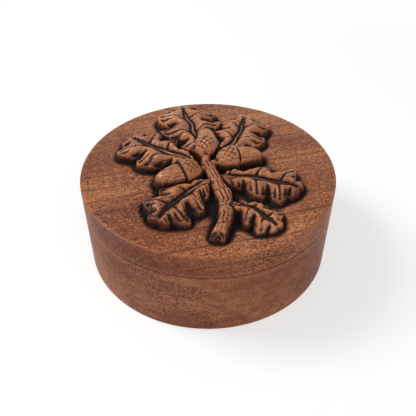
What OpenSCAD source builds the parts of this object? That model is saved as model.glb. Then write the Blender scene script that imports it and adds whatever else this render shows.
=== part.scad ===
// Round wooden box with a lift-off cap, turned and carved from solid wood.
// The base is one block: a cylinder hollowed from above, with a shoulder cut round its
// mouth that leaves a raised lip. The cap is one disc: its underside has a round recess
// that drops over the lip, and its face carries a raised carving of an oak twig with
// leaves and acorns. The origin is the centre of the base's foot, +Z points up.

/* [Box] */
// Outside diameter of base and cap
box_d = 127; // [110:1:160]
// Height of the base from its foot to the shoulder
base_h = 35.5; // [25:0.5:60]
// Thickness of the floor below the cavity
floor_t = 6; // [4:0.5:12]
// Radius of the fillet between the cavity's wall and floor
floor_fillet = 1; // [0.5:0.5:5]
// Radius of the softened outside edges
edge_r = 0.9; // [0.3:0.1:1.6]

/* [Lip] */
// Width of the shoulder that the cap's rim sits on
shoulder_w = 8.5; // [6:0.5:12]
// Wall of the lip
lip_wall = 8; // [5:0.5:11]
// Height of the lip above the shoulder
lip_h = 8; // [4:0.5:12]
// Radius of the softened edges of the lip and of the recess mouth
lip_edge_r = 0.6; // [0.2:0.1:1]

/* [Cap] */
// Thickness of wood above the cap's recess
cap_top_t = 4.3; // [3:0.1:10]
// Radial gap between the lip and the recess
cap_gap = 0.4; // [0.2:0.05:0.8]
// Gap between the top of the lip and the recess
head_gap = 0.4; // [0.2:0.05:1.5]

/* [Carving] */
// Plain border between the rim and the two ends of the carving
carving_border = 8.5; // [4:0.5:16]
// Width of the carving
carving_w = 84; // [60:1:96]
// Height of the carving above the cap's face
carving_h = 10; // [5:0.5:14]
// Depth to which the carving's solid reaches into the cap
carving_root = 1; // [0.5:0.1:2]
// Lobes along each side of a leaf
leaf_lobes = 3; // [2:1:4]
// Length of an acorn, from its stalk to its point
acorn_l = 26; // [20:0.5:30]
// Diameter of an acorn's cup
acorn_d = 15; // [11:0.5:18]
// Diameter of the twig at its cut end
twig_d = 8; // [6:0.5:10]

/* [Hidden] */
$fn = 96;

box_r = box_d / 2;
lip_r = box_r - shoulder_w;
cavity_r = lip_r - lip_wall;
base_top = base_h + lip_h;
recess_r = lip_r + cap_gap;
recess_h = lip_h + head_gap;
cap_t = recess_h + cap_top_t;
carving_l = box_d - 2 * carving_border;

WOOD = [0.56, 0.33, 0.20];

// Each leaf: its foot, its heading, length, half width, the angle it bends through, and
// the height of its blade over the cap's face, in the carving's own drawing.
LEAVES = [
    [[1, 4], 97, 50, 18, -14, 2.2],
    [[5, 0], 38, 45, 16, 30, 1.5],
    [[-4, 0], 146, 44, 16.5, -30, 1.4],
    [[1, -12], -19, 41, 14, -22, 0.8],
    [[-1, -14], 201, 39, 14, 24, 0.8],
    [[0.5, -31], -46, 28, 9.5, -18, 0.3]
];

// A leaf's outline: points along it, their shares of its half width, how far its lobes
// sweep forward, its width at the stalk and the depth of its sinuses.
LEAF_STEPS = 32;
LEAF_T = [-1, -0.78, -0.42, -0.13, 0, 0.13, 0.42, 0.78, 1];
LEAF_SWEEP = 0.34;
STALK_W = 0.1;
SINUS = 0.42;

// A leaf's heights over its own level: at the margin, of the swelling on each half, how
// far the swelling falls away at the midrib and at the margin, of the midrib, of the
// furrow that runs in from each sinus, and the rise from foot to tip.
MARGIN_H = 1.1;
SWELL_H = 4.1;
MIDRIB_FALL = 0.7;
MARGIN_FALL = 0.8;
MIDRIB_H = 0.9;
FURROW_H = 2.3;
TIP_RISE = 0.9;

// Each acorn: the foot of its cup, its heading and the height of its axis.
ACORNS = [
    [[4, -1], -1, 2.1],
    [[-4, -4], 188, 1.9],
    [[0.5, 4], 75, 2.7]
];

// An acorn's proportions: the cup's share of its length, its nut's and stalk's shares of
// the cup's diameter, how far the cup's rim overhangs the nut, and the stalk's length.
CUP_SHARE = 0.36;
NUT_SHARE = 0.84;
STALK_SHARE = 0.28;
CUP_RIM = 0.9;
ACORN_STALK = 3;

// The twig's centreline, from its cut end up to the bunch, as [x, y, share of twig_d],
// its height over the cap's face, the slope of the cut, and the sides of its bar.
TWIG = [
    [-10.6, -51.9, 0.9], [-8, -48, 0.88], [-5, -43.5, 0.87], [-2.5, -38, 0.86], [-0.8, -32, 0.86],
    [0, -26, 0.84], [0.3, -20, 0.82], [0.3, -14, 0.8], [0, -8, 0.82], [0, -2, 0.86],
    [0.3, 4, 0.7]
];
TWIG_AXIS_H = 1.1;
CUT_SLOPE = 0.9;
TWIG_SIDES = 10;

// Points of a quarter round about c, from angle a0 to a1.
function arc(c, r, a0, a1, steps = 5) = [
    for (i = [0:steps]) let (a = a0 + (a1 - a0) * i / steps) c + r * [cos(a), sin(a)]
];

// 0 up to low, 1 from high, and a soft step between them.
function soft_step(low, high, x) =
    let (k = min(1, max(0, (x - low) / (high - low)))) k * k * (3 - 2 * k);

// ---- Base ----

module base() {
    color(WOOD) rotate_extrude() polygon(concat(
        [[0, 0]],
        arc([box_r - edge_r, edge_r], edge_r, -90, 0),
        arc([box_r - edge_r, base_h - edge_r], edge_r, 0, 90),
        [[lip_r, base_h]],
        arc([lip_r - lip_edge_r, base_top - lip_edge_r], lip_edge_r, 0, 90),
        arc([cavity_r + lip_edge_r, base_top - lip_edge_r], lip_edge_r, 90, 180),
        arc([cavity_r - floor_fillet, floor_t + floor_fillet], floor_fillet, 0, -90),
        [[0, floor_t]]
    ));
}

// ---- Cap ----

module cap_disc() {
    rotate_extrude() polygon(concat(
        [[0, recess_h], [recess_r, recess_h], [recess_r, lip_edge_r]],
        [[recess_r + lip_edge_r, 0]],
        arc([box_r - edge_r, edge_r], edge_r, -90, 0),
        arc([box_r - edge_r, cap_t - edge_r], edge_r, 0, 90),
        [[0, cap_t]]
    ));
}

// Shape of a leaf. s runs from foot to tip and t from one edge to the other.
function lobe(s) = pow(abs(sin(180 * (leaf_lobes + 0.5) * s)), 1.1);
function leaf_width(s) =
    STALK_W + (1 - STALK_W) * pow(sin(180 * pow(s, 1.3)), 0.72) * (1 - SINUS * (1 - lobe(s)));
function swelling(t) =
    1 - MIDRIB_FALL * (1 - soft_step(0, 0.42, abs(t))) - MARGIN_FALL * soft_step(0.4, 1, abs(t));
function leaf_height(s, t) =
    let (crown = sin(180 * (0.06 + 0.9 * pow(s, 0.85))))
    MARGIN_H + TIP_RISE * s
    + SWELL_H * crown * swelling(t)
    - FURROW_H * crown * pow(1 - lobe(s), 1.2) * soft_step(0.15, 0.85, abs(t))
    + (t == 0 ? MIDRIB_H * (1 - s * s) : 0);

// Point at s, t on a leaf that sets out along +X from the origin.
function leaf_point(l, w, bend, s, t) =
    let (
        v = t * w * leaf_width(s),
        along = s + LEAF_SWEEP * abs(v) / l,
        turn = bend * along,
        r = l / (bend * PI / 180)
    )
    [r * sin(turn) - v * sin(turn), r * (1 - cos(turn)) + v * cos(turn)];

module leaf(l, w, bend, level) {
    nt = len(LEAF_T);
    rows = LEAF_STEPS + 1;
    top = [
        for (i = [0:LEAF_STEPS], t = LEAF_T)
            let (s = i / LEAF_STEPS, p = leaf_point(l, w, bend, s, t))
            [p.x, p.y, carving_root + level + leaf_height(s, t)]
    ];
    rim = concat(
        [for (i = [0:rows - 1]) i * nt],
        [for (j = [1:nt - 1]) (rows - 1) * nt + j],
        [for (i = [rows - 2:-1:0]) i * nt + nt - 1],
        [for (j = [nt - 2:-1:1]) j]
    );
    n = len(rim);
    foot = [for (k = rim) [top[k].x, top[k].y, 0]];
    polyhedron(
        points = concat(top, foot),
        faces = concat(
            [for (i = [0:rows - 2], j = [0:nt - 2], half = [0:1])
                let (a = i * nt + j, b = a + nt)
                half == 0 ? [a, a + 1, b + 1] : [a, b + 1, b]],
            [for (k = [0:n - 1], half = [0:1])
                let (m = (k + 1) % n)
                half == 0 ? [rim[k], rim[m], rows * nt + m] : [rim[k], rows * nt + m, rows * nt + k]],
            [[for (k = [0:n - 1]) rows * nt + k]]
        ),
        convexity = 6
    );
}

module acorn() {
    cup_l = acorn_l * CUP_SHARE;
    cup_r = acorn_d / 2;
    nut_r = cup_r * NUT_SHARE;
    stalk_r = cup_r * STALK_SHARE;
    nut_foot = cup_l + CUP_RIM + 0.1;
    nut_l = acorn_l - cup_l - 2.6;
    rotate([0, 90, 0]) rotate_extrude($fn = 24) polygon(concat(
        [[0, -ACORN_STALK], [stalk_r, -ACORN_STALK], [stalk_r, 0.4]],
        [for (a = [30:15:90]) [cup_r * sin(a), cup_l * (1 - cos(a))]],
        [[cup_r, cup_l + CUP_RIM], [nut_r, nut_foot]],
        [for (a = [15:15:75]) [nut_r * pow(cos(a), 0.8), nut_foot + nut_l * sin(a)]],
        [[0.7, acorn_l - 0.9], [0, acorn_l]]
    ));
}

// Round bar along the twig's centreline, thinner where TWIG says, with a slanted cut end.
module twig() {
    n = len(TWIG);
    axis = [for (q = TWIG) [q.x, q.y, carving_root + TWIG_AXIS_H]];
    ring = [
        for (i = [0:n - 1])
            let (
                step = axis[min(i + 1, n - 1)] - axis[max(i - 1, 0)],
                ahead = step / norm(step),
                side = [-ahead.y, ahead.x, 0],
                r = twig_d / 2 * TWIG[i][2],
                slope = i == 0 ? CUT_SLOPE : 0
            )
            for (k = [0:TWIG_SIDES - 1])
                let (a = 360 * k / TWIG_SIDES)
                axis[i] + r * (cos(a) * side + sin(a) * ([0, 0, 1] + slope * ahead))
    ];
    polyhedron(
        points = ring,
        faces = concat(
            [for (i = [0:n - 2], k = [0:TWIG_SIDES - 1], half = [0:1])
                let (a = i * TWIG_SIDES + k, b = i * TWIG_SIDES + (k + 1) % TWIG_SIDES)
                half == 0 ? [a, a + TWIG_SIDES, b + TWIG_SIDES] : [a, b + TWIG_SIDES, b]],
            [[for (k = [0:TWIG_SIDES - 1]) k]],
            [[for (k = [TWIG_SIDES - 1:-1:0]) (n - 1) * TWIG_SIDES + k]]
        ),
        convexity = 4
    );
}

// The whole carving in its own drawing, cut off flat at the depth that it reaches into
// the cap.
module oak_spray() {
    intersection() {
        union() {
            for (q = LEAVES) translate(q[0]) rotate(q[1]) leaf(q[2], q[3], q[4], q[5]);
            for (q = ACORNS)
                translate([q[0].x, q[0].y, carving_root + q[2]]) rotate(q[1]) acorn();
            twig();
        }
        translate([-box_d, -box_d, 0]) cube([2 * box_d, 2 * box_d, box_d]);
    }
}

module cap() {
    translate([0, 0, base_h]) {
        color(WOOD) union() {
            cap_disc();
            translate([0, 0, cap_t - carving_root])
                resize([carving_w, carving_l, carving_h + carving_root]) oak_spray();
        }
    }
}

base();
cap();
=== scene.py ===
"""A round box of turned and stained wood, with a lift-off cap whose face is carved with an
oak twig. Sizes are in millimetres where nothing else is said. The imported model's frame has
its origin at the centre of the box's foot, with Z up."""
import math

import bmesh
import bpy
import numpy as np
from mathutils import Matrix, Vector


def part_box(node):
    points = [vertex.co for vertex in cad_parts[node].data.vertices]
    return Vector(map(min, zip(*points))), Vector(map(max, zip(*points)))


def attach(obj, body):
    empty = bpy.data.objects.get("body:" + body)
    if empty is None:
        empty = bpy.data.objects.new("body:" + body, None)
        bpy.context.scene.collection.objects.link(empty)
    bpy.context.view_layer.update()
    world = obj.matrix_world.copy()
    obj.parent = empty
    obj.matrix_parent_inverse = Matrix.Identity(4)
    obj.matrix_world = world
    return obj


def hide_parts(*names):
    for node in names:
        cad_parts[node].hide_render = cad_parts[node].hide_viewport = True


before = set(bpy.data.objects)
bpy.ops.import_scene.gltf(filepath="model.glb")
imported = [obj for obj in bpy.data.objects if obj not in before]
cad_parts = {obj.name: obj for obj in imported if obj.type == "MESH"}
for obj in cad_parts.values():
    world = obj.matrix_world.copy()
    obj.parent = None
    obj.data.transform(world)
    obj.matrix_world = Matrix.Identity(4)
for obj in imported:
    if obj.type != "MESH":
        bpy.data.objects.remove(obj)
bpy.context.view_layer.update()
MM = 0.001

# ---- Sizes ----
# The frame gives the outside, and the rest repeats the turned profile's own sizes.
BASE_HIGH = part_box("base")[1]
CAP_LOW, CAP_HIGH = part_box("cap")
SHOULDER_W = 8.5
LIP_WALL = 8
CAP_GAP = 0.4
CARVING_H = 10
BOX_R = BASE_HIGH[0] / MM
LIP_TOP = BASE_HIGH[2] / MM
SHOULDER = CAP_LOW[2] / MM
LIP_R = BOX_R - SHOULDER_W
CAVITY_R = LIP_R - LIP_WALL
FLOOR = 6
FLOOR_FILLET = 1
EDGE_R = 0.9
LIP_EDGE_R = 0.6
RECESS_R = LIP_R + CAP_GAP
RECESS_CEILING = LIP_TOP + CAP_GAP
CAP_FACE = CAP_HIGH[2] / MM - CARVING_H

# How finely the meshes are cut: steps of a turn, cuts of each step on plain wood and on
# the carving, and the distance between points along the turning profile.
TURN_STEPS = 60
PLAIN_CUTS = 4
FINE_CUTS = 11
PLAIN_STEP = 1.5
CARVED_STEP = 0.45
BORDER_STEP = 1
HIDDEN_STEP = 4

# How near a vertex has to be to count as on a surface of the turning, or on its face.
CLOSE = 0.05
LEVEL = 0.01
# How far wear reaches from an edge, how far the worn line lies from the seam between base
# and cap, and how far in from the outside the seam's dirt lies.
EDGE_WEAR = 1.6
EDGE_BACK = 1.4
SEAM_IN = 0.6

# ---- Carving, on the cap's face: x across the twig, y from its cut end to the top leaf ----
# Each leaf: foot x, foot y, heading, length, half width, bend, height of its blade.
LEAVES = [
    (1, 4, 97, 50, 18, -14, 2.2),
    (5, 0, 38, 45, 16, 30, 1.5),
    (-4, 0, 146, 44, 16.5, -30, 1.4),
    (1, -12, -19, 41, 14, -22, 0.8),
    (-1, -14, 201, 39, 14, 24, 0.8),
    (0.5, -31, -46, 28, 9.5, -18, 0.3),
]
# Each acorn: foot x, foot y, heading, height of its axis.
ACORNS = [(4, -1, -1, 2.1), (-4, -4, 188, 1.9), (0.5, 4, 75, 2.7)]
ACORN_L, ACORN_D = 26, 15
CUP_RIM = 0.9
# The twig's line from its cut end: x, y, share of its full thickness.
TWIG = [
    (-10.6, -51.9, 0.9), (-8, -48, 0.88), (-5, -43.5, 0.87), (-2.5, -38, 0.86), (-0.8, -32, 0.86),
    (0, -26, 0.84), (0.3, -20, 0.82), (0.3, -14, 0.8), (0, -8, 0.82), (0, -2, 0.86), (0.3, 4, 0.7),
]
TWIG_D = 8
TWIG_AXIS = 1.1
CUT_SLOPE = 0.9
# A leaf's lobes: how many, and how far they sweep towards its tip.
LOBES = 3.5
LEAF_SWEEP = 0.34
# A leaf's heights: of its margin, of each half's swelling and of its tip over its foot.
MARGIN_H = 1.1
SWELL_H = 4.1
TIP_RISE = 0.9
# Depths of what is cut into a leaf, and the width of its midrib.
FURROW_DEPTH = 2.6
MIDRIB_W = 1.35
LOBE_VEIN_DEPTH = 1.15
FINE_VEIN_DEPTH = 0.9
FINE_VEIN_GAP = 3
# The square grid that the carving is worked out on, and the value that means no form.
GRID_STEP = 0.25
GRID_HALF = 62
NO_FORM = -9.0
# The ring of the face that holds the carving's detail.
CARVED_R = (12, 57)


def smooth(low, high, value):
    t = np.clip((value - low) / (high - low), 0, 1)
    return t * t * (3 - 2 * t)


def ridge(distance, width):
    """A soft crest, 1 at no distance."""
    return np.exp(-(distance / width) ** 2)


def lobe(s):
    return np.abs(np.sin(math.pi * LOBES * s)) ** 1.1


def leaf_half_width(s):
    swell = np.sin(math.pi * np.clip(s, 0, 1) ** 1.3).clip(0) ** 0.72
    return 0.1 + 0.9 * swell * (1 - 0.42 * (1 - lobe(s)))


def turned(x, y, foot_x, foot_y, heading):
    """x and y measured from a foot, along a heading and across it."""
    a = math.radians(heading)
    dx, dy = x - foot_x, y - foot_y
    return dx * math.cos(a) + dy * math.sin(a), dy * math.cos(a) - dx * math.sin(a)


def leaf_form(x, y, foot_x, foot_y, heading, length, half_w, bend, level):
    """Height of one leaf over the cap's face, and below every form where it isn't."""
    u, w = turned(x, y, foot_x, foot_y, heading)
    turn = math.radians(bend)
    r = length / turn
    side = math.copysign(1, r)
    v = r - side * np.hypot(u, r - w)
    along = np.arctan2(u * side, (r - w) * side) / turn
    s = along - LEAF_SWEEP * np.abs(v) / length
    t = v / (half_w * leaf_half_width(s))
    inside = (s > 0) & (s < 1) & (np.abs(t) < 1)
    s = np.clip(s, 0, 1)
    a = np.clip(np.abs(t), 0, 1)
    # Each half swells beside the midrib and falls to the margin, which turns up again.
    swell = 0.3 + 0.7 * smooth(0, 0.42, a) - 0.9 * smooth(0.42, 0.95, a)
    swell = swell + 0.15 * smooth(0.85, 1, a)
    crown = np.sin(math.pi * (0.06 + 0.9 * s ** 0.85))
    h = level + MARGIN_H + SWELL_H * crown * swell + TIP_RISE * s
    # The sinuses run up the blade as furrows, and the two halves lift by turns.
    h = h - FURROW_DEPTH * (1 - lobe(s)) ** 1.2 * smooth(0.15, 0.85, a) * crown
    h = h + 0.6 * t * np.sin(2 * math.pi * 1.4 * s + foot_x)
    # A raised midrib with a cut on each side, deeper on one, a cut down each lobe, and
    # finer ones beside it.
    rib = MIDRIB_W * (1 - 0.7 * s)
    h = h + 0.85 * ridge(v, 0.9 * rib) * (1 - s ** 2)
    h = h - 1.25 * ridge(v - 1.2 * rib, 0.6) * (1 - s) ** 0.5
    h = h - 0.7 * ridge(v + 1.2 * rib, 0.6) * (1 - s) ** 0.5
    past_rib = smooth(0.8, 2.4, np.abs(v))
    for k in range(int(LOBES)):
        d = (s - (k + 0.5) / LOBES) * length
        h = h - LOBE_VEIN_DEPTH * ridge(d, 0.66 - 0.3 * a) * past_rib * smooth(0.9, 0.3, a)
    fine = (1 - np.abs(np.sin(math.pi * s * length / FINE_VEIN_GAP))) ** 1.1
    h = h - FINE_VEIN_DEPTH * fine * past_rib * smooth(0.3, 0.6, a) * smooth(1, 0.85, a)
    return np.where(inside, h, NO_FORM)


def acorn_form(x, y, foot_x, foot_y, heading, axis_h):
    """Height of one acorn lying on its side: stalk, scaly cup, nut and point."""
    u, v = turned(x, y, foot_x, foot_y, heading)
    cup_l, cup_r = 0.36 * ACORN_L, ACORN_D / 2
    nut_r, nut_l = 0.42 * ACORN_D, 0.64 * ACORN_L - 2.6
    cup_u = np.clip(1 - u / cup_l, 0, 1)
    cup = np.where((u > 0) & (u < cup_l + CUP_RIM), cup_r * np.sqrt(1 - cup_u ** 2), 0)
    cup = cup * (1 - 0.08 * smooth(cup_l + 0.2, cup_l + CUP_RIM, u))
    nut_u = np.clip((u - cup_l - CUP_RIM) / nut_l, 0, 1)
    nut = np.where(u >= cup_l + CUP_RIM, nut_r * np.sqrt(1 - nut_u ** 2) ** 0.8, 0)
    past_cup = (u > cup_l) & (u < ACORN_L)
    tip = np.where(past_cup, 1.6 * np.clip((ACORN_L - u) / 3.2, 0, 1), 0)
    stalk = np.where((u > -4) & (u < 1), 0.14 * ACORN_D, 0)
    r = np.maximum(np.maximum(cup, nut), np.maximum(tip, stalk))
    inside = np.abs(v) < r
    h = axis_h + np.sqrt(np.clip(r * r - v * v, 0, None))
    around = np.arcsin(np.clip(v / np.maximum(r, 0.01), -1, 1))
    # The cup's scales are left between two sets of cuts that cross.
    one_way = np.abs(np.sin(6 * around + 1.1 * u))
    scale = np.minimum(one_way, np.abs(np.sin(6 * around - 1.1 * u)))
    on_cup = (u > 0.6) & (u < cup_l + 0.1)
    h = h + np.where(on_cup, 1.5 * np.minimum(scale, 0.55) - 0.75, 0)
    h = h - 1.2 * ridge(u - cup_l - 1.3, 0.55)
    h = h + np.where(u > cup_l + 1.5, 0.12 * np.cos(15 * around), 0) * (1 - nut_u)
    return np.where(inside, h, NO_FORM)


def twig_form(x, y):
    """Round bar along the twig's line, with knots, furrowed bark and a slanted cut end."""
    best = np.full(x.shape, NO_FORM)
    run = 0
    for (ax, ay, wa), (bx, by, wb) in zip(TWIG, TWIG[1:]):
        length = math.hypot(bx - ax, by - ay)
        heading = math.degrees(math.atan2(by - ay, bx - ax))
        u, v = turned(x, y, ax, ay, heading)
        f = np.clip(u / length, 0, 1)
        past_end = np.where(run == 0, np.maximum(u - length, 0), u - f * length)
        off = np.hypot(past_end, v)
        r = TWIG_D / 2 * (wa + (wb - wa) * f)
        along = run + f * length
        knots = ridge(along - 41, 2.2) + 0.8 * ridge(along - 17, 1.8)
        knots = knots + 0.7 * ridge(along - 29, 1.6)
        r = r * (1 + 0.06 * np.sin(along * 0.42 + 0.8) + 0.16 * knots)
        h = TWIG_AXIS + np.sqrt(np.clip(r * r - off * off, 0, None))
        furrow = 1.75 * v + 1.2 * np.sin(along * 0.33) + 0.4 * np.sin(along * 1.1)
        bark = np.abs(np.sin(furrow))
        h = h + (1.9 * np.minimum(bark, 0.5) - 0.75) * smooth(0, 1.0, r - off)
        inside = off < r
        if run == 0:
            # The cut leans back from its toe, and shows the growth rings.
            cut = TWIG_AXIS + u / CUT_SLOPE + 0.4 * np.cos(3.4 * np.hypot(1.45 * u, v))
            h = np.where(u < 4, np.minimum(h, np.maximum(cut, 0.3)), h)
            inside = inside & (u > -TWIG_AXIS * CUT_SLOPE)
        best = np.maximum(best, np.where(inside, h, NO_FORM))
        run += length
    return best


def softened(field, sigma):
    """The field blurred by sigma millimetres."""
    rows = np.fft.fftfreq(field.shape[0], GRID_STEP)[:, None]
    columns = np.fft.rfftfreq(field.shape[1], GRID_STEP)[None, :]
    keep = np.exp(-2 * (math.pi * sigma) ** 2 * (rows ** 2 + columns ** 2))
    return np.fft.irfft2(np.fft.rfft2(field) * keep, field.shape)


def wander(hand, shape, sigma):
    """A smooth field that rises and falls at random by about 1, in waves set by sigma."""
    field = softened(hand.normal(size=shape), sigma)
    return field / field.std()


def carve():
    """Three fields of the cap's face, on a square grid: its height over the plain face, how dark
    its hollows are, from stain and painted shade, and how light its crests are, from rubbing
    and painted highlight, both 0 to 1."""
    line = np.arange(-GRID_HALF, GRID_HALF + GRID_STEP / 2, GRID_STEP)
    x, y = np.meshgrid(line, line)
    hand = np.random.default_rng(5)
    # Cut by hand, so no line is quite true.
    x = x + 0.4 * wander(hand, x.shape, 3)
    y = y + 0.4 * wander(hand, x.shape, 3)
    forms = twig_form(x, y)
    for leaf in LEAVES:
        forms = np.maximum(forms, leaf_form(x, y, *leaf))
    for acorn in ACORNS:
        forms = np.maximum(forms, acorn_form(x, y, *acorn))
    carved = (forms > 0).astype(float)
    # The plain wood falls away towards the carving, into a groove cut along its outline,
    # and the gouge went deeper in some places than in others.
    uneven = np.clip(0.5 + 0.45 * wander(hand, x.shape, 5), 0, 1)
    dip = 1.5 * smooth(0.02, 0.6, softened(carved, 3.6))
    groove = (0.2 + 1.9 * uneven) * smooth(0.03, 0.42, softened(carved, 0.8))
    tooled = 0.05 * wander(hand, x.shape, 0.8)
    height = np.where(carved > 0, forms + tooled, -dip - groove)
    height = np.minimum(softened(height, 0.25), CARVING_H - 0.05)
    near = softened(height, 0.75) - height
    wide = softened(height, 2.8) - height
    outline = smooth(0.05, 0.5, softened(carved, 0.9) * (1 - carved)) * (0.1 + uneven)
    beside = smooth(0.02, 0.55, softened(carved, 3.4)) * (1 - carved) * (0.2 + 0.5 * uneven)
    # Stain stayed in the cuts and hollows and was rubbed off the crests. The broad hollows and
    # the low parts of the forms are darkened further as painted shade, and the crests and sharp
    # rises lightened further as painted highlight.
    low = carved * smooth(6, 1.5, height) * (0.2 + 0.35 * uneven)
    cuts = 0.6 * np.clip((softened(height, 0.45) - height) / 0.14, 0, 1)
    hollow = cuts + np.clip(near / 0.34, 0, 1) + np.clip(wide / 1.6, 0, 1)
    hollow = hollow + outline + beside + low
    crest = carved * smooth(3.5, 8.5, height)
    high = 0.4 * crest + 0.9 * np.clip(-near / 0.28, 0, 1)
    high = high + 0.5 * np.clip(-wide / 2.4, 0, 1)
    return height, np.clip(hollow, 0, 1), np.clip(high, 0, 1)


def sampled(field, x, y):
    """The field's value at each x and y, between its grid points."""
    last = field.shape[0] - 2
    gx = np.clip((x + GRID_HALF) / GRID_STEP, 0, last + 0.999)
    gy = np.clip((y + GRID_HALF) / GRID_STEP, 0, last + 0.999)
    ix, iy = gx.astype(int), gy.astype(int)
    fx, fy = gx - ix, gy - iy
    low = field[iy, ix] * (1 - fx) + field[iy, ix + 1] * fx
    high = field[iy + 1, ix] * (1 - fx) + field[iy + 1, ix + 1] * fx
    return low * (1 - fy) + high * fy


# ---- Turned shapes ----

def arc(cx, cz, r, start, end, steps=6):
    """Points of a quarter round in the turning profile, as radius and height."""
    angles = [math.radians(start + (end - start) * i / steps) for i in range(steps + 1)]
    return [(cx + r * math.cos(a), cz + r * math.sin(a)) for a in angles]


def stretch(start, end, step):
    """Points between two corners of the profile, about a step apart, without the corners."""
    count = max(1, round(math.dist(start, end) / step))
    return [
        (start[0] + (end[0] - start[0]) * i / count, start[1] + (end[1] - start[1]) * i / count)
        for i in range(1, count)
    ]


def square(before, corner, after, close=0.12):
    """A sharp corner of the profile, with a point close by on each side to keep it crisp."""
    def towards(end):
        share = close / math.dist(corner, end)
        return tuple(c + (e - c) * share for c, e in zip(corner, end))
    return [towards(before), corner, towards(after)]


def turned_piece(name, profile, is_carved=None):
    """Spins a profile of (radius, height) points about the box's axis into a closed mesh.
    Each of the turn's steps is then cut finer, most where it is carved, and the cuts are
    brought out to the circle."""
    bm = bmesh.new()
    # Built in one fixed order, so that every run gives the same mesh.
    angles = [2 * math.pi * i / TURN_STEPS for i in range(TURN_STEPS)]
    rings = []
    for r, z in profile:
        spots = angles if r else angles[:1]
        rings.append([
            bm.verts.new((r * MM * math.cos(a), r * MM * math.sin(a), z * MM)) for a in spots
        ])
    for ring, after in zip(rings, rings[1:]):
        for i in range(TURN_STEPS):
            four = (ring, i), (ring, i + 1), (after, i + 1), (after, i)
            # Beside the axis two of the four corners are one.
            bm.faces.new(dict.fromkeys(circle[k % len(circle)] for circle, k in four))
    fine, plain = [], []
    for edge in bm.edges:
        if is_chord(*edge.verts):
            carved = is_carved and is_carved(edge.verts[0].co / MM)
            (fine if carved else plain).append(edge)
    bmesh.ops.subdivide_edges(bm, edges=plain, cuts=PLAIN_CUTS, use_grid_fill=True)
    bmesh.ops.subdivide_edges(bm, edges=fine, cuts=FINE_CUTS, use_grid_fill=True)
    bmesh.ops.triangulate(bm, faces=[f for f in bm.faces if len(f.verts) > 4])
    bmesh.ops.recalc_face_normals(bm, faces=bm.faces)
    mesh = bpy.data.meshes.new(name)
    bm.to_mesh(mesh)
    bm.free()
    at = corners(mesh)
    step = 2 * math.pi / TURN_STEPS
    off_middle = np.arctan2(at[:, 1], at[:, 0]) % step - step / 2
    at[:, :2] *= (np.cos(off_middle) / math.cos(step / 2))[:, None]
    mesh.vertices.foreach_set("co", (at * MM).ravel())
    mesh.polygons.foreach_set("use_smooth", [True] * len(mesh.polygons))
    piece = bpy.data.objects.new(name, mesh)
    bpy.context.scene.collection.objects.link(piece)
    return piece


def is_chord(a, b):
    """Whether an edge runs round the turning axis, and not along the profile."""
    level = abs(a.co.z - b.co.z) < 1e-7
    return level and abs(a.co.xy.length - b.co.xy.length) < 1e-7


def corners(mesh):
    """Vertex places in millimetres, as an array."""
    co = np.empty(len(mesh.vertices) * 3)
    mesh.vertices.foreach_get("co", co)
    return co.reshape(-1, 3) / MM


def note(mesh, name, values):
    """Keeps one number per vertex, which the materials read."""
    mesh.attributes.new(name, "FLOAT", "POINT").data.foreach_set("value", values)


def base_profile():
    foot = arc(BOX_R - EDGE_R, EDGE_R, EDGE_R, -90, 0)
    shoulder = arc(BOX_R - EDGE_R, SHOULDER - EDGE_R, EDGE_R, 0, 90)
    lip_out = arc(LIP_R - LIP_EDGE_R, LIP_TOP - LIP_EDGE_R, LIP_EDGE_R, 0, 90)
    lip_in = arc(CAVITY_R + LIP_EDGE_R, LIP_TOP - LIP_EDGE_R, LIP_EDGE_R, 90, 180)
    corner = arc(CAVITY_R - FLOOR_FILLET, FLOOR + FLOOR_FILLET, FLOOR_FILLET, 0, -90)
    root = square(shoulder[-1], (LIP_R, SHOULDER), lip_out[0])
    runs = [[(0, 0)], foot, shoulder, root, lip_out, lip_in, corner, [(0, FLOOR)]]
    profile = list(runs[0])
    for run in runs[1:]:
        profile += stretch(profile[-1], run[0], PLAIN_STEP) + run
    return profile


def cap_profile():
    face_edge = arc(BOX_R - EDGE_R, CAP_FACE - EDGE_R, EDGE_R, 90, 0)
    rim_edge = arc(BOX_R - EDGE_R, SHOULDER + EDGE_R, EDGE_R, 0, -90)
    outer, inner = (RECESS_R + LIP_EDGE_R, SHOULDER), (RECESS_R, SHOULDER + LIP_EDGE_R)
    top, middle = (RECESS_R, RECESS_CEILING), (0, RECESS_CEILING)
    mouth = square(rim_edge[-1], outer, inner) + square(outer, inner, top)
    ceiling = square(inner, top, middle)
    carved = (CARVED_R[1], CAP_FACE)
    profile = [(0, CAP_FACE)] + stretch((0, CAP_FACE), carved, CARVED_STEP)
    profile += [carved] + stretch(carved, face_edge[0], BORDER_STEP) + face_edge
    for run in (rim_edge, mouth, ceiling):
        profile += stretch(profile[-1], run[0], PLAIN_STEP) + run
    return profile + stretch(profile[-1], middle, HIDDEN_STEP) + [middle]


def on_carving(place):
    """Whether a place, in millimetres, is on the face where the mesh has to be finest."""
    r = place.xy.length
    return place.z > CAP_FACE - LEVEL and CARVED_R[0] < r < CARVED_R[1] - LEVEL


def near_edge(r, z, edges, reach):
    """1 on any of the circles given as (radius, height), falling to 0 a reach away."""
    close = np.min([np.hypot(r - er, z - ez) for er, ez in edges], axis=0)
    return 1 - smooth(0, reach, close)


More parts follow.
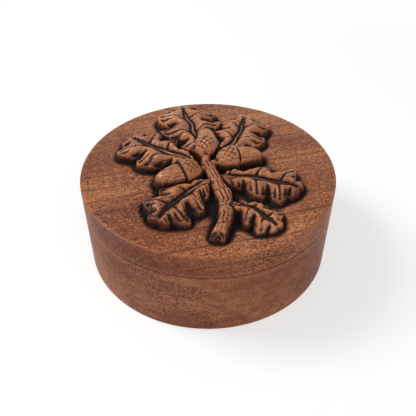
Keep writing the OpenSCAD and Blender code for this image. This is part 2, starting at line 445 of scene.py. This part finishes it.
def make_base():
    """The base and what its materials read: wear, stain, soak, painted light and painted shade."""
    piece = turned_piece("box_base", base_profile())
    at = corners(piece.data)
    r, z = np.hypot(at[:, 0], at[:, 1]), at[:, 2]
    inside = (r < CAVITY_R + CLOSE) & (z > FLOOR - 0.1)
    depth = np.where(inside, smooth(LIP_TOP, FLOOR, z), 0)
    # Hands rubbed the edges, the lip's top and the shoulder, and the lip's top and shoulder are
    # painted lighter still as painted light.
    worn = [(BOX_R, 0), (BOX_R, SHOULDER - EDGE_BACK), (LIP_R, LIP_TOP), (CAVITY_R, LIP_TOP)]
    rubbed_and_painted_light = 0.65 * (z > LIP_TOP - CLOSE) + 0.4 * (np.abs(z - SHOULDER) < CLOSE)
    note(piece.data, "high", np.maximum(0.8 * near_edge(r, z, worn, EDGE_WEAR), rubbed_and_painted_light))
    # Darker at the lip's root, at the seam with the cap, in the cavity's corner and deeper in the
    # cavity: some stain, with painted shade in these corners and recesses.
    dirt_and_shade = 0.65 * near_edge(r, z, [(LIP_R, SHOULDER)], 1.8)
    dirt_and_shade += 0.35 * near_edge(r, z, [(BOX_R - SEAM_IN, SHOULDER)], 0.9)
    dirt_and_shade += 0.35 * near_edge(r, z, [(CAVITY_R, FLOOR)], 5) + 0.1 * depth
    note(piece.data, "hollow", np.clip(dirt_and_shade, 0, 1))
    # The walls are redder and duller from soaking, and darker deeper in the cavity as painted
    # shade.
    lip_side = np.abs(r - LIP_R) < CLOSE
    on_floor = smooth(CAVITY_R, CAVITY_R - 8, r)
    outside = 0.6 * lip_side + 0.3 * (r > BOX_R - EDGE_R / 2)
    soaked_and_shaded = np.where(inside, 0.5 + 0.4 * depth - 0.6 * on_floor, outside)
    note(piece.data, "soaked_and_shaded", np.clip(soaked_and_shaded, 0, 1))
    return piece


def make_cap():
    """The cap, its face raised and cut to the carving, with what its materials read."""
    piece = turned_piece("carved_cap", cap_profile(), on_carving)
    at = corners(piece.data)
    x, y, z = at[:, 0], at[:, 1], at[:, 2].copy()
    r = np.hypot(x, y)
    height, hollow, high = carve()
    face = (z > CAP_FACE - LEVEL) & (r < GRID_HALF - 0.2)
    at[:, 2] += np.where(face, sampled(height, x, y), 0)
    piece.data.vertices.foreach_set("co", (at * MM).ravel())
    piece.data.update()
    edges = [(BOX_R, CAP_FACE), (BOX_R, SHOULDER + EDGE_BACK)]
    worn = 0.45 * near_edge(r, z, edges, EDGE_WEAR)
    # The seam with the base is painted darker: dirt, and painted shade between the parts.
    seam_dirt_and_shade = 0.6 * near_edge(r, z, [(BOX_R - SEAM_IN, SHOULDER)], 1.0)
    under = (z < RECESS_CEILING + LEVEL) & (r < RECESS_R + LEVEL)
    note(piece.data, "high", np.where(face, sampled(high, x, y), worn))
    note(piece.data, "hollow", np.where(face, sampled(hollow, x, y), seam_dirt_and_shade))
    note(piece.data, "soaked_and_shaded", np.where(under, 0.5, 0.35 * (r > BOX_R - EDGE_R / 2)))
    return piece


# ---- Materials ----

def shade(red, green, blue):
    """A colour as it is seen, in 0 to 255, for a shader."""
    def channel(c):
        c = c / 255
        return c / 12.92 if c <= 0.04045 else ((c + 0.055) / 1.055) ** 2.4
    return (channel(red), channel(green), channel(blue), 1)


WOOD_MID = shade(130, 68, 36)
WOOD_LIGHT = shade(188, 127, 82)
WOOD_DARK = shade(84, 37, 18)
GROWTH_LINE = shade(90, 43, 23)
# The rubbed colour is worn wood, and also painted highlight on the carving.
RUBBED_AND_HIGHLIGHT = shade(208, 138, 92)
PORE = shade(50, 23, 13)
# Soak and stain colours, which also paint shade in hollows, corners, seams and the cavity.
SOAKED_AND_SHADE_RED = shade(106, 43, 20)
STAIN_AND_SHADE_BROWN = shade(72, 22, 8)
STAIN_AND_SHADE_BLACK = shade(14, 6, 3)

# The tree's heart from the centre of a block, and how far its rings sway, in metres.
HEART_Y = 0.11
HEART_Z = 0.01
RING_SWAY = 0.009

# Roughness of plain, waxed wood.
WAXED = 0.4


class Nodes:
    """Short calls for making and joining the nodes of one tree."""

    def __init__(self, tree):
        self.tree = tree

    def add(self, kind, settings=None, **inputs):
        node = self.tree.nodes.new(kind)
        for name, value in (settings or {}).items():
            setattr(node, name, value)
        for name, value in inputs.items():
            self.put(node.inputs[name.replace("_", " ")], value)
        return node

    def put(self, socket, value):
        if isinstance(value, bpy.types.NodeSocket):
            self.tree.links.new(value, socket)
        else:
            socket.default_value = value

    def math(self, what, a, b=0.0):
        node = self.tree.nodes.new("ShaderNodeMath")
        node.operation = what
        self.put(node.inputs[0], a)
        self.put(node.inputs[1], b)
        return node.outputs[0]

    def times(self, a, b):
        return self.math("MULTIPLY", a, b)

    def swing(self, value, amount):
        """How far a value lies from one half, times an amount."""
        return self.times(self.math("SUBTRACT", value, 0.5), amount)

    def between(self, value, low, high, to_low=0.0, to_high=1.0):
        node = self.add(
            "ShaderNodeMapRange", {"interpolation_type": "SMOOTHSTEP"}, Value=value,
            From_Min=low, From_Max=high, To_Min=to_low, To_Max=to_high,
        )
        return node.outputs[0]

    def noise(self, place, waves, detail=3.0, roughness=0.55, distortion=0.0):
        """Noise from 0 to 1, with so many waves to the metre along X, Y and Z."""
        scaled = self.add("ShaderNodeMapping", Vector=place, Scale=waves)
        node = self.add(
            "ShaderNodeTexNoise", Vector=scaled.outputs[0], Scale=1.0, Detail=detail,
            Roughness=roughness, Distortion=distortion,
        )
        return node.outputs["Fac"]

    def blend(self, factor, first, second):
        node = self.tree.nodes.new("ShaderNodeMix")
        node.data_type = "RGBA"
        self.put(node.inputs[0], factor)
        self.put(node.inputs[6], first)
        self.put(node.inputs[7], second)
        return node.outputs[2]


def new_group(name, inputs, outputs):
    """An empty node group with named sockets, its helper, and its two ends."""
    tree = bpy.data.node_groups.new(name, "ShaderNodeTree")
    for socket, kind, value in inputs:
        made = tree.interface.new_socket(name=socket, in_out="INPUT", socket_type=kind)
        if value is not None:
            made.default_value = value
    for socket, kind in outputs:
        tree.interface.new_socket(name=socket, in_out="OUTPUT", socket_type=kind)
    ends = tree.nodes.new("NodeGroupInput"), tree.nodes.new("NodeGroupOutput")
    return tree, Nodes(tree), ends[0].outputs, ends[1].inputs


def wood_figure_group():
    """What the wood itself shows: speckled figure, growth lines, fibres and open pores.
    The grain runs along X, and the tree's heart lies to one side and a little below."""
    tree, n, given, out = new_group(
        "Wood figure",
        [("Place", "NodeSocketVector", None), ("Line spacing", "NodeSocketFloat", 9.0),
         ("Mottle", "NodeSocketFloat", 1.0)],
        [("Figure", "NodeSocketFloat"), ("Growth line", "NodeSocketFloat"),
         ("Fibre", "NodeSocketFloat"), ("Pores", "NodeSocketFloat")],
    )
    place = given["Place"]
    # Broad clouds, streaks along the grain, and a fine speckle in two sizes.
    cloud = n.noise(place, (12, 30, 30), detail=3, distortion=0.4)
    streak = n.noise(place, (30, 330, 330), detail=2)
    mottle = n.noise(place, (280, 480, 480), detail=2)
    grit = n.noise(place, (1150, 1900, 1900), detail=2, roughness=0.6)
    figure = n.math("ADD", n.swing(cloud, 1.3), n.swing(streak, 1.1))
    speckle = n.math("ADD", n.swing(mottle, 0.7), n.swing(grit, 4.2))
    figure = n.math("ADD", figure, n.times(speckle, given["Mottle"]))
    n.put(out["Figure"], n.math("ADD", figure, 0.58))
    # Growth lines are the ends of rings round the heart, uneven and broken in places.
    apart = n.add("ShaderNodeSeparateXYZ", Vector=place).outputs
    from_y = n.math("ADD", apart["Y"], HEART_Y)
    from_z = n.math("ADD", apart["Z"], HEART_Z)
    squares = n.math("ADD", n.times(from_y, from_y), n.times(from_z, from_z))
    sway = n.times(n.noise(place, (7, 22, 22), detail=2), RING_SWAY)
    away = n.math("ADD", n.math("SQRT", squares), sway)
    ring = n.math("FRACT", n.math("DIVIDE", n.times(away, 1 / MM), given["Line spacing"]))
    late = n.times(n.between(ring, 0.9, 0.93), n.between(ring, 1.0, 0.97))
    broken = n.between(n.noise(place, (45, 160, 160), detail=2), 0.27, 0.5)
    n.put(out["Growth line"], n.times(late, broken))
    n.put(out["Fibre"], n.noise(place, (150, 1500, 1500), detail=1))
    # Pores are the highest spots of a fine noise, and crowd together in places.
    dots = n.noise(place, (750, 1500, 1500), detail=2, roughness=0.5)
    crowd = n.between(n.noise(place, (22, 38, 38), detail=2), 0.4, 0.62)
    limit = n.math("SUBTRACT", 0.68, n.times(crowd, 0.14))
    n.put(out["Pores"], n.between(n.math("SUBTRACT", dots, limit), -0.02, 0.08))
    return tree


def stain_and_painted_light_group():
    """Stain wiped over the wood, with painted shade and highlight: black in the cuts, brown beside
    them, both deepened as painted shade in hollows, corners and seams, rubbed off and painted
    lighter on the crests, and redder and duller where it soaks in, with painted shade deep in
    the base's cavity."""
    tree, n, given, out = new_group(
        "Stain and painted light",
        [("Place", "NodeSocketVector", None), ("Figure", "NodeSocketFloat", 0.5),
         ("Growth line", "NodeSocketFloat", 0.0), ("Line depth", "NodeSocketFloat", 0.8),
         ("Fibre", "NodeSocketFloat", 0.5), ("Pores", "NodeSocketFloat", 0.0),
         ("Hollow", "NodeSocketFloat", 0.0), ("High", "NodeSocketFloat", 0.0),
         ("Soaked_and_shaded", "NodeSocketFloat", 0.0), ("Smears", "NodeSocketFloat", 0.3)],
        [("Color", "NodeSocketColor"), ("Roughness", "NodeSocketFloat"),
         ("Height", "NodeSocketFloat")],
    )
    place = given["Place"]
    blotch = n.noise(place, (10, 16, 16), detail=2)
    tone = n.math("ADD", given["Figure"], n.swing(blotch, 1.7))
    wood = n.blend(n.between(tone, -0.3, 0.5), WOOD_DARK, WOOD_MID)
    wood = n.blend(n.between(tone, 0.5, 1.3), wood, WOOD_LIGHT)
    # Crests and edges turn lighter from rubbing, and the carving's crests also as painted
    # highlight.
    wood = n.blend(n.times(given["High"], 0.55), wood, RUBBED_AND_HIGHLIGHT)
    wood = n.blend(n.times(n.between(given["Fibre"], 0.5, 0.75), 0.35), wood, WOOD_DARK)
    wood = n.blend(n.times(given["Growth line"], given["Line depth"]), wood, GROWTH_LINE)
    # Soaking turns wood redder, and deep in the base's cavity this is also painted shade.
    wood = n.blend(n.times(given["Soaked_and_shaded"], 0.9), wood, SOAKED_AND_SHADE_RED)
    pores = n.times(given["Pores"], 0.8)
    wood = n.blend(pores, wood, PORE)
    smears = n.between(n.noise(place, (16, 55, 24), detail=3, roughness=0.6), 0.52, 0.74)
    wood = n.blend(n.times(smears, given["Smears"]), wood, STAIN_AND_SHADE_BROWN)
    # The stain's edge is ragged, and beside the cuts it also sank into the pores.
    ragged = n.swing(n.noise(place, (520, 520, 520), detail=3, roughness=0.7), 0.8)
    filled = n.times(n.times(given["Pores"], n.between(given["Hollow"], 0.03, 0.35)), 0.5)
    hollow = n.math("ADD", n.math("ADD", given["Hollow"], ragged), filled)
    # The brown and black of the hollows are stain and painted shade together.
    wood = n.blend(n.between(hollow, 0.06, 0.55, 0.0, 0.88), wood, STAIN_AND_SHADE_BROWN)
    wood = n.blend(n.between(hollow, 0.5, 0.92), wood, STAIN_AND_SHADE_BLACK)
    n.put(out["Color"], wood)
    # Rubbed crests shine a little, and stained, soaked or porous wood is dull.
    dull = n.math("ADD", n.times(n.between(hollow, 0.15, 0.85), 0.5),
                  n.times(given["Soaked_and_shaded"], 0.4))
    shine = n.math("ADD", n.times(given["High"], -0.12), n.times(pores, 0.2))
    n.put(out["Roughness"], n.math("ADD", n.math("ADD", WAXED, dull), shine))
    n.put(out["Height"], n.math("SUBTRACT", n.times(given["Fibre"], 0.25), given["Pores"]))
    return tree


FIGURE = wood_figure_group()
STAIN_AND_PAINTED_LIGHT = stain_and_painted_light_group()


def stained_wood(name, centre, turn, spacing, lines, mottle, smears):
    """One block's wood: its place and turn in the tree, how far apart in millimetres and how
    dark its growth lines are, how speckled it is and how much stain is left in smears."""
    material = bpy.data.materials.new(name)
    material.use_nodes = True
    n = Nodes(material.node_tree)
    shader = material.node_tree.nodes["Principled BSDF"]
    place = n.add("ShaderNodeTexCoord").outputs["Object"]
    block = n.add("ShaderNodeMapping", Vector=place, Location=centre, Rotation=turn).outputs[0]
    figure = n.add("ShaderNodeGroup", {"node_tree": FIGURE}, Place=block, Line_spacing=spacing,
                   Mottle=mottle)
    stain = n.add("ShaderNodeGroup", {"node_tree": STAIN_AND_PAINTED_LIGHT}, Place=block, Smears=smears,
                  Line_depth=lines)
    for socket in ("Hollow", "High", "Soaked_and_shaded"):
        noted = n.add("ShaderNodeAttribute", {"attribute_name": socket.lower()})
        n.put(stain.inputs[socket], noted.outputs["Fac"])
    for socket in ("Figure", "Growth line", "Fibre", "Pores"):
        n.put(stain.inputs[socket], figure.outputs[socket])
    n.put(shader.inputs["Base Color"], stain.outputs["Color"])
    n.put(shader.inputs["Roughness"], stain.outputs["Roughness"])
    relief = stain.outputs["Height"]
    bump = n.add("ShaderNodeBump", Strength=0.35, Distance=0.2 * MM, Height=relief)
    n.put(shader.inputs["Normal"], bump.outputs[0])
    shader.inputs["Specular IOR Level"].default_value = 0.25
    return material


# ---- Stage, in metres ----

STAGE_R = 6
# The floor's greys: under the box's shadow as it is seen, and as it lights the box. What
# is seen glows a little as well.
SEEN_GREY, LIT_GREY = 0.42, 0.75
GLOW = 0.6
# The floor's own shading and shadow end in plain white between these distances.
WHITE_FROM, WHITE_TO = 0.22, 0.5
# How strongly the surroundings light the box. Seen directly, they are white.
SURROUNDINGS = 0.37
LAMPS_AIM = (0, 0, 0.03)
# The camera: its aim, its distance from it, degrees above it and round from the front,
# and its lens in millimetres.
CAMERA_AIM = (0, 0, 0.021)
CAMERA_AWAY = 0.285
CAMERA_UP = 40.8
CAMERA_TURN = -16
CAMERA_LENS = 46


def seen_directly(n):
    """1 for what the camera sees straight, in a gloss or through glass, 0 for what lights."""
    ray = n.add("ShaderNodeLightPath").outputs
    sharp = n.math("MAXIMUM", ray["Is Glossy Ray"], ray["Is Transmission Ray"])
    return n.math("MAXIMUM", ray["Is Camera Ray"], sharp)


def make_floor():
    """A pale floor that the camera sees as white, with the box's soft shadow on it."""
    material = bpy.data.materials.new("Pale floor")
    material.use_nodes = True
    n = Nodes(material.node_tree)
    n.tree.nodes.remove(n.tree.nodes["Principled BSDF"])
    output = n.tree.nodes["Material Output"]
    shadowed = n.add("ShaderNodeBsdfDiffuse", Color=(SEEN_GREY, SEEN_GREY, SEEN_GREY, 1))
    lift = n.add("ShaderNodeEmission", Color=(1, 1, 1, 1), Strength=GLOW)
    near = n.add("ShaderNodeAddShader")
    n.put(near.inputs[0], shadowed.outputs[0])
    n.put(near.inputs[1], lift.outputs[0])
    place = n.add("ShaderNodeTexCoord").outputs["Object"]
    away = n.add("ShaderNodeVectorMath", {"operation": "LENGTH"}, Vector=place).outputs["Value"]
    white = n.add("ShaderNodeEmission", Color=(1, 1, 1, 1), Strength=1.0)
    seen = n.add("ShaderNodeMixShader", Fac=n.between(away, WHITE_FROM, WHITE_TO))
    n.put(seen.inputs[1], near.outputs[0])
    n.put(seen.inputs[2], white.outputs[0])
    plain = n.add("ShaderNodeBsdfDiffuse", Color=(LIT_GREY, LIT_GREY, LIT_GREY, 1))
    choice = n.add("ShaderNodeMixShader", Fac=seen_directly(n))
    n.put(choice.inputs[1], plain.outputs[0])
    n.put(choice.inputs[2], seen.outputs[0])
    n.put(output.inputs["Surface"], choice.outputs[0])
    bm = bmesh.new()
    bmesh.ops.create_circle(bm, cap_ends=True, segments=64, radius=STAGE_R)
    mesh = bpy.data.meshes.new("floor")
    bm.to_mesh(mesh)
    bm.free()
    floor = bpy.data.objects.new("floor", mesh)
    mesh.materials.append(material)
    bpy.context.scene.collection.objects.link(floor)


def make_world():
    """Even, white surroundings that show as white and light the box more weakly."""
    world = bpy.data.worlds.new("Studio")
    bpy.context.scene.world = world
    world.use_nodes = True
    n = Nodes(world.node_tree)
    background = world.node_tree.nodes["Background"]
    strength = n.between(seen_directly(n), 0.0, 1.0, SURROUNDINGS, 1.0)
    n.put(background.inputs["Strength"], strength)
    background.inputs["Color"].default_value = (1, 1, 1, 1)


def area_light(name, place, size, power):
    """A square soft light of so many watts, aimed at the box."""
    data = bpy.data.lights.new(name, "AREA")
    data.size = size
    data.energy = power
    lamp = bpy.data.objects.new(name, data)
    lamp.location = place
    aim = Vector(LAMPS_AIM) - Vector(place)
    lamp.rotation_euler = aim.to_track_quat("-Z", "Y").to_euler()
    bpy.context.scene.collection.objects.link(lamp)


def make_camera():
    """Looks down on the box as steeply as the photograph does, from close by."""
    up = math.radians(CAMERA_UP)
    turn = math.radians(CAMERA_TURN)
    away = Vector((
        math.sin(turn) * math.cos(up), -math.cos(turn) * math.cos(up), math.sin(up),
    ))
    data = bpy.data.cameras.new("camera")
    data.sensor_width = 36
    data.lens = CAMERA_LENS
    camera = bpy.data.objects.new("camera", data)
    camera.location = Vector(CAMERA_AIM) + away * CAMERA_AWAY
    camera.rotation_euler = (-away).to_track_quat("-Z", "Y").to_euler()
    bpy.context.scene.collection.objects.link(camera)
    bpy.context.scene.camera = camera


# ---- The scene ----

base = make_base()
base.data.materials.append(stained_wood(
    "Base wood", centre=(0.31, 0.02, 0.01), turn=(0, 0, 0.5), spacing=12.0, lines=0.35,
    mottle=0.45, smears=0.75,
))
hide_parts("base")
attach(base, "base")

cap = make_cap()
cap.data.materials.append(stained_wood(
    "Cap wood", centre=(0, 0, 0), turn=(0, 0, 0), spacing=8.5, lines=0.8, mottle=1.0,
    smears=0.25,
))
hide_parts("cap")
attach(cap, "cap")

make_floor()
make_world()
area_light("key", place=(-0.75, 0.45, 0.95), size=0.5, power=11.5)
area_light("fill", place=(0.35, -1.1, 0.6), size=1.0, power=6)
make_camera()
bpy.context.scene.view_settings.view_transform = "Standard"
